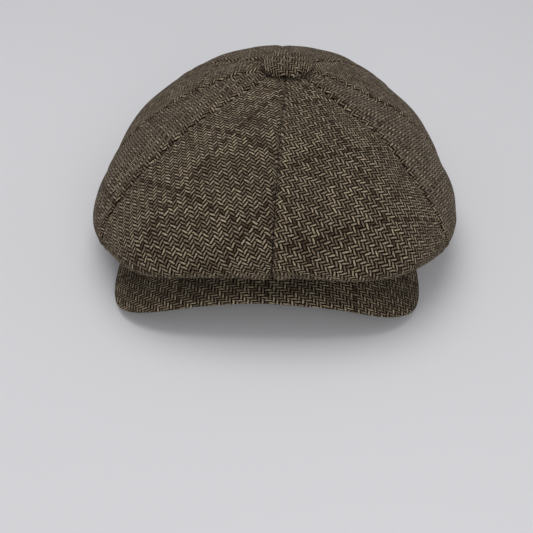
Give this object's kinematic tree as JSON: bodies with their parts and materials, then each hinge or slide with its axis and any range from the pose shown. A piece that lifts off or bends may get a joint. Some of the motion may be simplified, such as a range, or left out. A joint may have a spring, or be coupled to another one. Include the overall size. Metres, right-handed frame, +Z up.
{
  "type": "newsboy cap",
  "caption": "Eight-panel tweed cap with a covered button on top, a soft crown over a headband and a short stiffened peak.",
  "frame": {"origin": "under the middle of the cap's outline, on the surface that it stands on", "axes": "+Z up, front of the cap towards -Y, wearer's left side towards +X"},
  "size_m": [0.249, 0.31, 0.1129],
  "materials": {
    "tweed": "herringbone wool tweed",
    "lining": "woven satin lining",
    "headband": "wool tweed",
    "interlining": "stiff canvas",
    "sweatband": "grosgrain ribbon",
    "label": "woven blank tab",
    "board": "moulded polyethylene sheet",
    "wadding": "needled felt",
    "button_metal": "pressed sheet",
    "thread": "waxed thread"
  },
  "bodies": {
    "cap": {"apex_patch": "lining", "band_interlining": "interlining", "button_back": "button_metal", "button_cover": "tweed", "button_shell": "button_metal", "button_thread": "thread", "crown_gore_back_left": "tweed", "crown_gore_back_right": "tweed", "crown_gore_front_left": "tweed", "crown_gore_front_right": "tweed", "crown_gore_side_back_left": "tweed", "crown_gore_side_back_right": "tweed", "crown_gore_side_front_left": "tweed", "crown_gore_side_front_right": "tweed", "lining_gore_back_left": "lining", "lining_gore_back_right": "lining", "lining_gore_front_left": "lining", "lining_gore_front_right": "lining", "lining_gore_side_back_left": "lining", "lining_gore_side_back_right": "lining", "lining_gore_side_front_left": "lining", "lining_gore_side_front_right": "lining", "outer_band": "headband", "size_label": "label", "sweatband": "sweatband"},
    "peak": {"peak_board": "board", "peak_top_cover": "tweed", "peak_under_cover": "tweed", "peak_wadding": "wadding"}
  },
  "joints": [
    {"name": "peak_flex", "type": "hinge", "parent": "cap", "child": "peak", "pos_m": [0, -0.095, 0.0345], "axis": [1, 0, 0], "range_deg": [0, 5], "stiffness_Nm_per_rad": 1.2}
  ]
}
